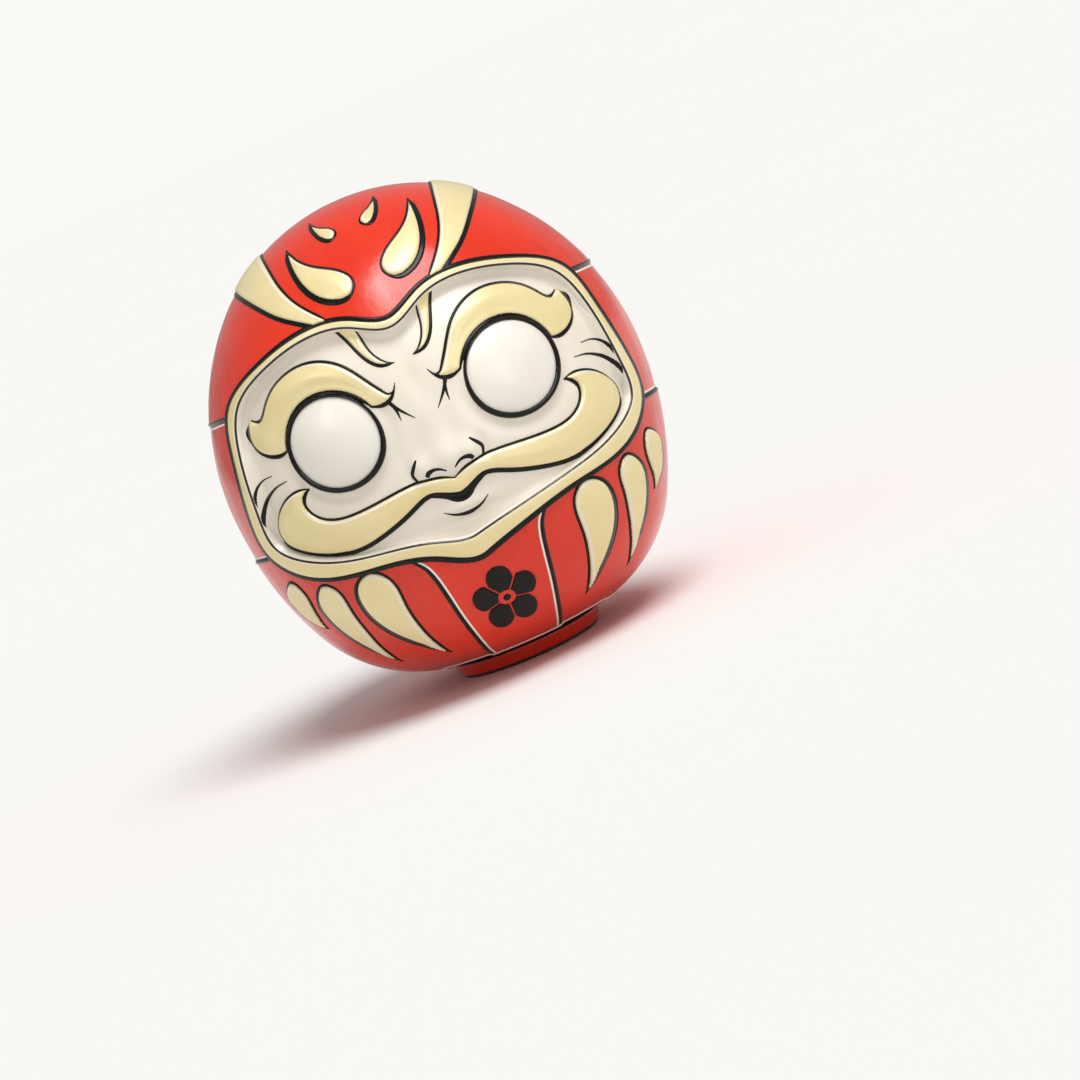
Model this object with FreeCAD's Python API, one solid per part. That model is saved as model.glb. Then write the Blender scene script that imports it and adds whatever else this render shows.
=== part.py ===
"""Daruma doll: a round papier-mache figure that rights itself, in a hooded red robe.

The doll faces -Y, its own left is +X, and +Z is up. The origin is the middle of the underside.
Millimetres throughout. The body is a solid of revolution about Z, moulded as two half shells
that are glued along the side seam. A clay weight closes the bottom, on a turned wooden foot.
The face is a moulded mask glued in behind a window in the front shell, and the gilded
ornaments are raised shell-paste relief on the robe and on the mask.
"""

import FreeCAD
import Part

import math
import os

from FreeCAD import Vector

# ---- driving dimensions ----
height = 114.0  # floor to crown
body_radius = 52.0  # widest, at the equator
equator_z = 57.0
foot_height = 3.8  # floor to the flat underside of the body
foot_top_radius = 18.6
foot_bottom_radius = 17.4
wall = 3.0  # papier-mache wall
mask_thickness = 2.0

# ---- the body's outline: a crown, an upper side, a lower side and a shoulder, all tangent ----
crown_join_deg = 45.0  # where the crown meets the upper side, above the equator
shoulder_join_deg = 25.0  # where the lower side meets the shoulder, below the equator
lower_overhang = 28.9  # the lower side's centre lies this far past the axis

# ---- inside and underneath ----
mould_hole_radius = 12.0  # the hole that the mould's core leaves in the bottom
boss_clearance = 0.2
glue_gap = 0.1
weight_top_z = 15.0
paper_thickness = 0.6
paper_radius = 16.9
strip_half_width = 5.0
strip_thickness = 0.6
strip_bottom_z = 20.0

# ---- relief heights, measured outward from the surface that carries each piece ----
rim_height = 1.4
rim_lip = 0.8  # how far the rim's lip reaches inside the window's cut edge
mask_flange = 3.2  # how far the mask laps behind the shell, above and below
mask_back_y = -15.0  # where the mask's flange ends at the sides
band_height = 0.9
flame_height = 1.1
emblem_height = 0.5
forelock_height = 1.3
brow_height = 2.2
moustache_height = 2.2
eye_height = 1.0
eye_ring_height = 1.4

# ---- the face, in the front view ----
eye_x = 21.0
eye_z = 65.9
eye_radius = 10.0
eye_ring_radius = 11.2
nose_tip_y = -52.0
nose_tip_z = 54.2
nose_tip_radius = 4.2
nose_wing_x = 4.6
nose_wing_z = 53.0
nose_wing_radius = 2.8
nose_wing_sink = 0.6  # the wings' centres lie this far behind the mask's surface
nose_bridge_top_z = 67.0
nose_bridge_top_radius = 1.6
nose_bridge_rise = 0.9  # how far the top of the bridge stands out of the mask

# ---- the bands over the crown ----
band_inner_x = 21.3  # where the bands' edges cross the crown's side outline
band_outer_x = 29.9
band_reach = 1.15

# ---- the belly emblem: a five-petalled plum blossom ----
emblem_z = 18.9
petal_count = 5
petal_radius = 3.0
petal_distance = 4.8
blossom_centre_radius = 2.0

crown_join = math.radians(crown_join_deg)
shoulder_join = math.radians(shoulder_join_deg)
# The upper side's centre lies past the axis just far enough for the crown to meet the height.
upper_overhang = (height - equator_z - body_radius) / (
    1.0 + math.tan(crown_join) - 1.0 / math.cos(crown_join)
)
upper_radius = body_radius + upper_overhang
crown_z = equator_z + upper_overhang * math.tan(crown_join)
crown_radius = height - crown_z
lower_radius = body_radius + lower_overhang
# The shoulder is tangent to the lower side and to the flat underside.
shoulder_radius = (equator_z - foot_height - lower_radius * math.sin(shoulder_join)) / (
    1.0 - math.sin(shoulder_join)
)
shoulder_x = (lower_radius - shoulder_radius) * math.cos(shoulder_join) - lower_overhang
shoulder_z = foot_height + shoulder_radius
side_clear = body_radius + 10.0  # reaches past the body, for cutting tools


# ---- outlines in the front view: x across, z up, for the doll's left side ----
RIM_OUTER = [
    (0, 30.7), (10, 33.6), (25, 36.7), (39.6, 39.6), (45.9, 46.4), (46.6, 56),
    (44.3, 71), (41.2, 80.6), (31, 87.6), (18, 91.1), (8.5, 90.0), (0, 86.8),
]
RIM_INNER = [
    (0, 35.3), (10, 37.2), (25, 39.6), (37, 42.7), (43.2, 47.6), (44.0, 56),
    (42.1, 71.5), (38.6, 80.2), (29, 86.5), (17.5, 89.3), (8.2, 87.9), (0, 84.7),
]
# The bands' front and back halves meet over the crown, where the lists below end.
BAND_INNER_FRONT = [(11.0, 90.1), (14.8, 94), (17.9, 97.9), (19.7, 102), (20.6, 106)]
BAND_OUTER_FRONT = [(25.8, 99.2), (22.5, 95.9), (18.8, 93.3), (13.8, 90.1)]
BAND_INNER_BACK = [(20.3, 100), (17.2, 91), (11.5, 83), (3.5, 77.5)]
BAND_OUTER_BACK = [(3.5, 77.5), (13.5, 79.8), (22.5, 86), (28.2, 95)]
CROWN_FLAME = [
    (14.9, 108.4), (13.2, 105.2), (9.6, 102.6), (5.2, 99.9), (3.6, 97.1), (4.9, 94.7),
    (8.6, 94.4), (12.3, 96.7), (14.7, 101.2), (14.9, 108.4),
]
CROWN_SPARK = [
    (7.9, 111.9), (6.2, 110.3), (3.9, 109.2), (3.1, 108.1), (4.4, 106.9), (6.4, 107.8),
    (7.5, 109.6), (7.9, 111.9),
]
INNER_BELLY_FLAME = [
    (16.8, 10.6), (20.4, 18.4), (21.7, 26.2), (22.7, 33.0), (26.3, 35.8), (30.0, 33.9),
    (31.1, 28.6), (27.4, 20.2), (16.8, 10.6),
]
MIDDLE_BELLY_FLAME = [
    (28.4, 12.2), (32.2, 20.9), (33.9, 29.5), (35.4, 35.0), (37.6, 36.3), (39.7, 34.0),
    (39.7, 28.5), (36.0, 20.6), (28.4, 12.2),
]
OUTER_BELLY_FLAME = [
    (40.6, 25.6), (41.7, 31.8), (42.6, 37.0), (44.1, 39.0), (45.8, 37.4), (45.9, 33.0),
    (44.0, 28.6), (40.6, 25.6),
]
FORELOCK_INNER = [(7.6, 89.0), (6.9, 84.7), (6.4, 81.8), (4.9, 78.9), (2.2, 77.1)]
FORELOCK_OUTER = [(2.2, 77.1), (5.8, 78.0), (8.2, 81.2), (9.9, 85.4), (13.6, 90.0)]
BROW_TOP = [
    (6.4, 71.4), (9.5, 75.6), (13.4, 80.7), (20.5, 84.0), (28.2, 82.3), (33.0, 78.0),
    (35.5, 75.8), (36.9, 76.6),
]
BROW_OUTER = [(36.9, 76.6), (38.7, 73.2), (37.9, 69.6), (34.6, 67.6), (30.0, 69.6)]
BROW_INNER = [(12.5, 71.4), (9.0, 69.8), (6.2, 70.2), (4.2, 72.2)]
BROW_TIP = [(4.2, 72.2), (5.2, 71.2), (6.4, 71.4)]
MOUSTACHE_TOP = [
    (0, 49.0), (4, 50.4), (8, 50.9), (15, 50.4), (23, 49.6), (28.4, 50.2), (31.9, 52.8),
    (32.8, 55.8), (30.9, 58.3),
]
MOUSTACHE_OUTER = [
    (30.9, 58.3), (35.2, 58.2), (39.4, 55.0), (41.1, 49.9), (38.7, 44.9), (33.2, 42.2),
    (26, 41.7), (18.5, 43.3), (11.5, 45.9), (6.0, 47.5), (2.6, 46.2), (0, 45.4),
]


def arc(centre_x, centre_z, radius, start, end):
    """An arc in the XZ plane, between two angles in radians above +X."""
    def point(angle):
        return Vector(
            centre_x + radius * math.cos(angle), 0, centre_z + radius * math.sin(angle)
        )

    return Part.Arc(point(start), point((start + end) / 2), point(end)).toShape()


def half_outline(inset):
    """The body's outline from crown to underside, moved inward by inset."""
    return [
        arc(0, crown_z, crown_radius - inset, math.pi / 2, crown_join),
        arc(-upper_overhang, equator_z, upper_radius - inset, crown_join, 0),
        arc(-lower_overhang, equator_z, lower_radius - inset, 0, -shoulder_join),
        arc(shoulder_x, shoulder_z, shoulder_radius - inset, -shoulder_join, -math.pi / 2),
        Part.makeLine(
            Vector(shoulder_x, 0, foot_height + inset), Vector(0, 0, foot_height + inset)
        ),
    ]


def revolved(edges):
    """The closed profile turned about Z, with the join of the turn at the middle of the back."""
    profile = Part.Face(Part.Wire(Part.sortEdges(edges)[0]))
    solid = profile.revolve(Vector(0, 0, 0), Vector(0, 0, 1), 360)
    solid.rotate(Vector(0, 0, 0), Vector(0, 0, 1), 90)
    return solid if solid.Volume > 0 else solid.reversed()


def body_solid(inset):
    axis = Part.makeLine(Vector(0, 0, foot_height + inset), Vector(0, 0, height - inset))
    return revolved(half_outline(inset) + [axis])


def layer(inner_inset, outer_inset):
    """What lies between two surfaces of the body. A negative inset stands proud of it."""
    bottom = Part.makeLine(
        Vector(0, 0, foot_height + outer_inset), Vector(0, 0, foot_height + inner_inset)
    )
    top = Part.makeLine(Vector(0, 0, height - outer_inset), Vector(0, 0, height - inner_inset))
    return revolved(half_outline(outer_inset) + half_outline(inner_inset) + [bottom, top])


def box(x_range, y_range, z_range):
    low = Vector(x_range[0], y_range[0], z_range[0])
    size = Vector(x_range[1], y_range[1], z_range[1]) - low
    return Part.makeBox(size.x, size.y, size.z, low)


def spline(points):
    curve = Part.BSplineCurve()
    curve.interpolate([Vector(x, 0, z) for x, z in points])
    return curve.toShape()


def mirrored(points):
    """The same run of points on the doll's right side, in the opposite order."""
    return [(-x, z) for x, z in reversed(points)]


def grown(half, distance):
    """A half outline with each point moved outward, square to its neighbours' line."""
    before = [(-half[1][0], half[1][1])] + half[:-1]
    after = half[1:] + [(-half[-2][0], half[-2][1])]
    moved = []
    for (x0, z0), (x, z), (x1, z1) in zip(before, half, after):
        length = math.hypot(x1 - x0, z1 - z0)
        moved.append(
            (x + distance * (z1 - z0) / length, z - distance * (x1 - x0) / length)
        )
    return moved


def loop_wire(half):
    """A closed smooth outline from its left half, which starts and ends on the middle line."""
    points = half + mirrored(half)[1:-1]
    curve = Part.BSplineCurve()
    curve.interpolate([Vector(x, 0, z) for x, z in points], PeriodicFlag=True)
    return Part.Wire([curve.toShape()])


def runs_wire(*runs):
    """A closed outline of smooth runs that meet at corners."""
    return Part.Wire([spline(run) for run in runs])


def prism(outline, front=True):
    """A wire or a flat face carried right through one side of the doll, front or back."""
    face = Part.Face(outline) if outline.ShapeType == "Wire" else outline
    depth = -side_clear if front else side_clear
    return face.extrude(Vector(0, depth, 0))


def disc(x, z, radius):
    circle = Part.Circle(Vector(x, 0, z), Vector(0, 1, 0), radius)
    return Part.Face(Part.Wire([circle.toShape()]))


def other_side(shape):
    return shape.mirror(Vector(0, 0, 0), Vector(1, 0, 0))


def only_solids(shape):
    """One solid, or the group of separate solids, that a cut leaves."""
    solids = shape.removeSplitter().Solids
    return solids[0] if len(solids) == 1 else Part.makeCompound(solids)


def half_shells(window):
    """The front shell, with the window for the face, and the back shell."""
    hole = Part.makeCylinder(mould_hole_radius, foot_height + 2 * wall)
    shell = layer(wall, 0).cut(hole)
    whole = (-side_clear, side_clear)
    front = shell.common(box(whole, (-side_clear, 0), (0, height + 1)))
    back = shell.common(box(whole, (0, side_clear), (0, height + 1)))
    return front.cut(prism(window)), back


def seam_strip():
    """The paper strip pasted inside, over the joint between the two shells."""
    across = (-side_clear, side_clear)
    slot = box(across, (-strip_half_width, strip_half_width), (strip_bottom_z, height))
    return layer(wall + strip_thickness, wall).common(slot)


def base_weight():
    """Clay pressed into the bottom, with a boss that plugs the mould's hole."""
    fill = body_solid(wall + glue_gap).common(
        Part.makeCylinder(body_radius, weight_top_z)
    )
    boss = Part.makeCylinder(
        mould_hole_radius - boss_clearance, 2 * wall, Vector(0, 0, foot_height)
    )
    return fill.fuse(boss)


def foot():
    """The turned foot, hollowed on top to seat the body."""
    lip = 0.9  # how far the turned blank reaches up around the body before it is hollowed
    top = foot_height + lip
    blank = Part.makeCone(
        foot_bottom_radius, foot_top_radius, top - paper_thickness, Vector(0, 0, paper_thickness)
    )
    return blank.cut(body_solid(0))


def bottom_paper():
    return Part.makeCylinder(paper_radius, paper_thickness)


def face_rim(opening, front_shell):
    """The gilded bead around the window, with a lip that covers the wall's cut edge."""
    ring = prism(loop_wire(RIM_OUTER)).cut(opening)
    return ring.common(layer(wall, -rim_height)).cut(front_shell)


def nose():
    """A tip between two wings, under a bridge that fades into the mask."""
    tip_centre = Vector(0, nose_tip_y + nose_tip_radius, nose_tip_z)
    wing_y = nose_wing_sink - math.sqrt((body_radius - wall) ** 2 - nose_wing_x**2)
    solid = Part.makeSphere(nose_tip_radius, tip_centre)
    for side in (-1, 1):
        centre = Vector(side * nose_wing_x, wing_y, nose_wing_z)
        solid = solid.fuse(Part.makeSphere(nose_wing_radius, centre))
    mask_at_top = (
        math.sqrt((upper_radius - wall) ** 2 - (nose_bridge_top_z - equator_z) ** 2)
        - upper_overhang
    )
    top_centre = Vector(
        0, -(mask_at_top + nose_bridge_rise - nose_bridge_top_radius), nose_bridge_top_z
    )
    run = top_centre - tip_centre
    bridge = Part.makeCone(
        nose_tip_radius - 0.8, nose_bridge_top_radius, run.Length, tip_centre, run
    )
    return solid.fuse(bridge).cut(body_solid(wall))


def over_crown(x):
    """A point of the crown's side outline, and one straight out from it, clear of the body."""
    rise = math.sqrt(crown_radius ** 2 - x ** 2)
    return [(x, crown_z + rise), (x * band_reach, crown_z + rise * band_reach)]


def plum_blossom():
    blossom = prism(disc(0, emblem_z, blossom_centre_radius))
    for number in range(petal_count):
        turn = math.radians(90 + 360 / petal_count * number)
        x = petal_distance * math.cos(turn)
        z = emblem_z + petal_distance * math.sin(turn)
        blossom = blossom.fuse(prism(disc(x, z, petal_radius)))
    return blossom


def build():
    parts = {}
    opening = prism(loop_wire(RIM_INNER))
    window = loop_wire(grown(RIM_INNER, rim_lip))
    parts["front_shell"], parts["back_shell"] = half_shells(window)
    parts["seam_strip"] = seam_strip()
    parts["base_weight"] = base_weight()
    parts["foot"] = foot()
    parts["bottom_paper"] = bottom_paper()

    mask_front = box(
        (-side_clear, side_clear), (-side_clear, mask_back_y), (foot_height, height)
    )
    mask_outline = prism(loop_wire(grown(RIM_INNER, mask_flange))).common(mask_front)
    parts["face_mask"] = mask_outline.common(layer(wall + mask_thickness, wall))
    rim = face_rim(opening, parts["front_shell"])
    parts["face_rim"] = rim

    eye_disc = disc(eye_x, eye_z, eye_radius)
    ring_disc = disc(eye_x, eye_z, eye_ring_radius)
    eye = prism(eye_disc).common(layer(wall, wall - eye_height))
    eye_ring = prism(ring_disc.cut(eye_disc).Faces[0])
    eye_ring = eye_ring.common(layer(wall, wall - eye_ring_height))
    brow_wire = runs_wire(
        BROW_TOP, BROW_OUTER, [BROW_OUTER[-1], BROW_INNER[0]], BROW_INNER, BROW_TIP
    )
    brow_face = Part.Face(brow_wire).cut(ring_disc).Faces[0]
    brow = prism(brow_face).common(layer(wall, wall - brow_height))
    moustache_wire = runs_wire(
        MOUSTACHE_TOP, MOUSTACHE_OUTER, mirrored(MOUSTACHE_OUTER), mirrored(MOUSTACHE_TOP)
    )
    moustache = prism(moustache_wire).common(opening)
    moustache = moustache.common(layer(wall, wall - moustache_height))
    forelock_wire = runs_wire(
        FORELOCK_INNER, FORELOCK_OUTER, [FORELOCK_OUTER[-1], FORELOCK_INNER[0]]
    )
    forelock = prism(forelock_wire).common(opening)
    forelock = forelock.common(layer(wall, wall - forelock_height))

    inner_over = over_crown(band_inner_x)
    outer_over = over_crown(band_outer_x)
    band_front = prism(
        runs_wire(
            BAND_INNER_FRONT + inner_over,
            [inner_over[-1], outer_over[-1]],
            outer_over[::-1] + BAND_OUTER_FRONT,
            [BAND_OUTER_FRONT[-1], BAND_INNER_FRONT[0]],
        )
    )
    band_back = prism(
        runs_wire(
            inner_over[::-1] + BAND_INNER_BACK,
            BAND_OUTER_BACK + outer_over,
            [outer_over[-1], inner_over[-1]],
        ),
        front=False,
    )
    band = band_front.fuse(band_back).common(layer(0, -band_height)).cut(rim)

    flame_layer = layer(0, -flame_height)
    pairs = {
        "eye": eye,
        "eye_ring": eye_ring,
        "brow": brow,
        "forelock": forelock,
        "crown_band": band,
    }
    flames = {
        "crown_flame": CROWN_FLAME,
        "crown_spark": CROWN_SPARK,
        "inner_belly_flame": INNER_BELLY_FLAME,
        "middle_belly_flame": MIDDLE_BELLY_FLAME,
        "outer_belly_flame": OUTER_BELLY_FLAME,
    }
    for name, points in flames.items():
        pairs[name] = prism(runs_wire(points)).common(flame_layer)
    for name, shape in pairs.items():
        parts["left_" + name] = shape
        parts["right_" + name] = other_side(shape)

    parts["moustache"] = moustache
    parts["nose"] = nose()
    parts["belly_emblem"] = plum_blossom().common(layer(0, -emblem_height))
    return parts


def main():
    os.makedirs("parts", exist_ok=True)
    for name, shape in build().items():
        piece = only_solids(shape)
        piece.exportStep(os.path.join("parts", name + ".step"))
        print(f"{name:26s} solids {len(piece.Solids)}  volume {piece.Volume:10.1f} mm3")


main()
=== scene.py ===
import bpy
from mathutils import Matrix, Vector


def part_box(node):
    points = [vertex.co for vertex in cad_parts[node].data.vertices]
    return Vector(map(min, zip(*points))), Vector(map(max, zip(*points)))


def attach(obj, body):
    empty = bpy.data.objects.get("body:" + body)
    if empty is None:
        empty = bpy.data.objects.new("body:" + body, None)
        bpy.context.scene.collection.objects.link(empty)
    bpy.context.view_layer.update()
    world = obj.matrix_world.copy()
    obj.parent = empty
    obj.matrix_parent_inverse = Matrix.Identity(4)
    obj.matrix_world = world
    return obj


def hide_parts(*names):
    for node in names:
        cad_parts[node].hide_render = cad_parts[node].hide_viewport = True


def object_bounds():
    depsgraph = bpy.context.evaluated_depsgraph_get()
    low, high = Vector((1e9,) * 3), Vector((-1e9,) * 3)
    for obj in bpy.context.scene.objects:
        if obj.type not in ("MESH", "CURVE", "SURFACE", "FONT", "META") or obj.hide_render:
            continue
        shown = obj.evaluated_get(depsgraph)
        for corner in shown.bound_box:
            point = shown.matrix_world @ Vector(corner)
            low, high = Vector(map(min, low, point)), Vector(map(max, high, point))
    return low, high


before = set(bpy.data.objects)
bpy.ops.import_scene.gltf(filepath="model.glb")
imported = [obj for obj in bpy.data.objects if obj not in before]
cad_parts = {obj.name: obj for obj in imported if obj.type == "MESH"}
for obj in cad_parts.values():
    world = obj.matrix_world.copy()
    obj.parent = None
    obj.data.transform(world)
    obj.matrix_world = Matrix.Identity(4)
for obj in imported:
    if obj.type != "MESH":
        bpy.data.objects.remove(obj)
cad_box = [list(corner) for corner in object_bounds()]

import math
from collections import Counter

import bpy
import numpy as np
from mathutils import Matrix, Vector, geometry, kdtree

scene = bpy.context.scene

# The doll faces -Y, its own left is +X and +Z is up. Lengths are in millimetres unless a name
# says otherwise, and the meshes are scaled to metres.
MM = 0.001
CENTRE = np.array([0.0, 0.0, 57.0])  # a place on the body is a direction from here
CHART_RADIUS = 53.0  # about the body's radius: it sets the scale of the flat charts
QUARTER = CHART_RADIUS * math.pi / 2  # from a chart's middle to its quarter circle


def unit(v):
    return v / np.linalg.norm(v, axis=-1, keepdims=True)


def smooth(low, high, x):
    """0 at low to 1 at high, easing at both ends."""
    t = np.clip((x - low) / (high - low), 0, 1)
    return t * t * (3 - 2 * t)


def bump(x, z, middle_x, middle_z, spread_x, spread_z):
    return np.exp(-(((x - middle_x) / spread_x) ** 2) - ((z - middle_z) / spread_z) ** 2)


# ---- the body's surface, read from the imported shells
UNDERSIDE_RADII = (0, 3, 6, 9, 12, 14)  # points added on the flat underside
PROFILE_STEPS = 3601


def node_points(name):
    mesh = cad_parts[name].data
    flat = np.empty(len(mesh.vertices) * 3, np.float32)
    mesh.vertices.foreach_get("co", flat)
    return flat.reshape(-1, 3).astype(float) / MM


def shell_profile():
    """The body's outer points as radius and height, from the shells' hull."""
    points = np.vstack([node_points("front_shell"), node_points("back_shell")])
    pairs = np.column_stack([np.hypot(points[:, 0], points[:, 1]), points[:, 2]])
    pairs = np.unique(pairs.round(4), axis=0)
    hull = pairs[geometry.convex_hull_2d([Vector(p) for p in pairs])]
    hull = hull[hull[:, 0] > 0.01]
    bottom = hull[:, 1].min()
    hull = hull[hull[:, 1] > bottom + 1e-3]
    underside = [(radius, bottom) for radius in UNDERSIDE_RADII]
    return np.vstack([hull, underside, [(0, pairs[:, 1].max())]])


def read_profile():
    """Distance from CENTRE to the body's surface, against the angle down from the crown."""
    across, up = shell_profile().T
    up = up - CENTRE[2]
    angle, radius = np.arctan2(across, up), np.hypot(across, up)
    order = np.argsort(angle)
    angle, radius = angle[order], radius[order]
    keep = np.concatenate([[True], np.diff(angle) > 2e-3])
    angle, radius = angle[keep], radius[keep]
    slope = np.gradient(radius, angle)
    slope[0] = slope[-1] = 0
    fine = np.linspace(0, math.pi, PROFILE_STEPS)
    k = np.clip(np.searchsorted(angle, fine) - 1, 0, len(angle) - 2)
    step = angle[k + 1] - angle[k]
    t = (fine - angle[k]) / step
    value = (
        (2 * t**3 - 3 * t**2 + 1) * radius[k]
        + (t**3 - 2 * t**2 + t) * step * slope[k]
        + (3 * t**2 - 2 * t**3) * radius[k + 1]
        + (t**3 - t**2) * step * slope[k + 1]
    )
    return fine, value, np.gradient(value, fine)


ANGLE, RADIUS, SLOPE = read_profile()


def body_surface(d):
    """Points and outward normals of the smooth body in the directions d from CENTRE."""
    angle = np.arccos(np.clip(d[:, 2], -1, 1))
    radius = np.interp(angle, ANGLE, RADIUS)
    slope = np.interp(angle, ANGLE, SLOPE)
    across = np.hypot(d[:, 0], d[:, 1])
    around = d[:, :2] / np.maximum(across, 1e-9)[:, None]
    around = np.where(across[:, None] > 1e-9, around, [1.0, 0.0])
    out_r = radius * np.sin(angle) - slope * np.cos(angle)
    out_z = slope * np.sin(angle) + radius * np.cos(angle)
    length = np.hypot(out_r, out_z)
    normal = np.column_stack([around * (out_r / length)[:, None], out_z / length])
    return CENTRE + d * radius[:, None], normal


def feet(points):
    """The directions of the surface points under these points, and how high the points stand."""
    d = unit(points - CENTRE)
    for _ in range(8):
        base, normal = body_surface(d)
        height = ((points - base) * normal).sum(1)
        d = unit(points - height[:, None] * normal - CENTRE)
    return d, height


# ---- flat charts and the outlines on them
class Chart:
    """A flat map of the body round one direction, true to scale near its middle."""

    def __init__(self, towards):
        self.w = unit(np.asarray(towards, float))
        up = np.array([0.0, 0.0, 1.0]) if abs(self.w[2]) < 0.97 else np.array([0.0, 1.0, 0.0])
        self.u = unit(np.cross(up, self.w))
        self.v = np.cross(self.w, self.u)

    def flat(self, d):
        across = np.column_stack([d @ self.u, d @ self.v])
        sine = np.linalg.norm(across, axis=1, keepdims=True)
        angle = np.arctan2(sine, (d @ self.w)[:, None])
        return across / np.maximum(sine, 1e-12) * angle * CHART_RADIUS

    def direction(self, p):
        angle = np.linalg.norm(p, axis=1, keepdims=True) / CHART_RADIUS
        along = p / np.maximum(angle * CHART_RADIUS, 1e-12)
        sideways = along[:, :1] * self.u + along[:, 1:] * self.v
        return np.cos(angle) * self.w + np.sin(angle) * sideways


FRONT, BACK = Chart((0, -1, 0)), Chart((0, 1, 0))
SAME_LEVEL = 0.03  # how far a node's base may stray from its level
SHORTEST_LOOP = 9  # points; a shorter one is dropped


def base_loops(name, level=None):
    """The closed outlines, as directions, of a node's faces at one height, the longest first."""
    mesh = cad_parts[name].data
    mesh.calc_loop_triangles()
    points, index = np.unique(node_points(name).round(5), axis=0, return_inverse=True)
    d, height = feet(points)
    level = height.min() if level is None else level
    flat = np.abs(height - level) < SAME_LEVEL
    tri = np.empty(len(mesh.loop_triangles) * 3, np.int32)
    mesh.loop_triangles.foreach_get("vertices", tri)
    tri = index.reshape(-1)[tri.reshape(-1, 3)]
    tri = tri[flat[tri].all(1)]
    tri = tri[(tri[:, 0] != tri[:, 1]) & (tri[:, 1] != tri[:, 2]) & (tri[:, 0] != tri[:, 2])]
    edges = np.vstack([tri[:, [0, 1]], tri[:, [1, 2]], tri[:, [2, 0]]]).tolist()
    used = Counter((min(edge), max(edge)) for edge in edges)
    follow = {}
    for a, b in edges:
        if used[(min(a, b), max(a, b))] == 1:
            follow.setdefault(a, []).append(b)

    def next_after(here):
        found = follow[here].pop()
        if not follow[here]:
            del follow[here]
        return found

    loops = []
    while follow:
        start = next(iter(follow))
        loop = [start]
        here = next_after(start)
        while here != start and here in follow:
            loop.append(here)
            here = next_after(here)
        if len(loop) >= SHORTEST_LOOP:
            loops.append(d[loop])
    return sorted(loops, key=lambda loop: -np.linalg.norm(np.ptp(loop, axis=0)))


SHARP_TURN = 0.6  # radians between two steps of an outline at a corner that is kept
TIP = 0.9  # how far an outline's line runs on past a corner: 0 is round, 1 a full mitre
LONGEST_TIP = 4.5  # the most that it runs on, in widths of the line
TAPER = 4.0  # how far from a tip its lines reach their full width


def even(loop, spacing):
    """A closed flat outline with points at even steps along it, and its sharp corners kept."""
    loop = loop[np.linalg.norm(np.roll(loop, -1, 0) - loop, axis=1) > 2e-3]
    before, after = loop - np.roll(loop, 1, 0), np.roll(loop, -1, 0) - loop
    turn = np.arccos(np.clip((unit(before) * unit(after)).sum(1), -1, 1))
    corners = np.flatnonzero(turn > SHARP_TURN)
    first = corners[0] if len(corners) else 0
    closed = np.roll(loop, -first, 0)
    closed = np.vstack([closed, closed[:1]])
    run = np.concatenate([[0], np.cumsum(np.linalg.norm(np.diff(closed, axis=0), axis=1))])
    stops = np.concatenate([run[corners - first] if len(corners) else [0.0], run[-1:]])
    at = []
    for low, high in zip(stops[:-1], stops[1:]):
        at.append(np.linspace(low, high, max(round((high - low) / spacing), 1), endpoint=False))
    at = np.concatenate(at)
    return np.column_stack([np.interp(at, run, closed[:, 0]), np.interp(at, run, closed[:, 1])])


class Outline:
    """A closed flat outline that tells how far inside it a point lies."""

    def __init__(self, loop, spacing=0.3):
        points = even(loop, spacing)
        following = np.roll(points, -1, 0)
        if (points[:, 0] * following[:, 1] - points[:, 1] * following[:, 0]).sum() < 0:
            points = points[::-1]
        self.points = points
        self.steps = np.roll(points, -1, 0) - points
        self.outward = unit(np.column_stack([self.steps[:, 1], -self.steps[:, 0]]))
        turn = (unit(np.roll(self.steps, 1, 0)) * unit(self.steps)).sum(1)
        self.tips = points[turn < math.cos(SHARP_TURN)]
        self.tree = kdtree.KDTree(len(points))
        for k, (x, y) in enumerate(points):
            self.tree.insert((x, y, 0), k)
        self.tree.balance()

    def gap(self, p):
        """Distance inward, negative outside, and the direction out of the outline."""
        k = np.array([self.tree.find((x, y, 0))[1] for x, y in p.tolist()], int)
        offsets, shares = [], []
        for j in (k - 1, k):
            step = self.steps[j]
            share = np.clip(((p - self.points[j]) * step).sum(1) / (step**2).sum(1), 0, 1)
            offsets.append(p - self.points[j] - share[:, None] * step)
            shares.append(share)
        size = np.linalg.norm(offsets, axis=2)
        first = (size[0] < size[1])[:, None]
        offset = np.where(first, offsets[0], offsets[1])
        corner = (shares[0] == 1) & (shares[1] == 0)
        normal = np.where(first, self.outward[k - 1], self.outward[k])
        normal = np.where(corner[:, None], self.outward[k - 1] + self.outward[k], normal)
        outside = (offset * normal).sum(1) > 0
        length = np.linalg.norm(offset, axis=1)
        sign = np.where(outside, 1, -1)[:, None]
        direction = offset * sign / np.maximum(length, 1e-6)[:, None]
        mitre = np.maximum((offset * self.outward[k - 1]).sum(1), (offset * self.outward[k]).sum(1))
        mitre = np.maximum(length + TIP * (mitre - length), length / LONGEST_TIP)
        length = np.where(outside & corner, mitre, length)
        return np.where(outside, -length, length), direction

    def inside(self, p):
        return self.gap(p)[0]

    def clear(self, p):
        """0 at the sharp tips to 1 well away from them."""
        if not len(self.tips):
            return np.ones(len(p))
        to_tip = np.linalg.norm(p[:, None] - self.tips[None], axis=2).min(1)
        return smooth(0, TAPER, to_tip)


# ---- the face's window and the rim round it
RIM_LIP = 1.15  # how far the rim reaches inside the window's cut edge
FILLET_REACH = 2.2  # how far the paste that joins the face to the rim spreads over the face
RIM_CLEARANCE = 0.45  # between the moustache and the rim

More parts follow.
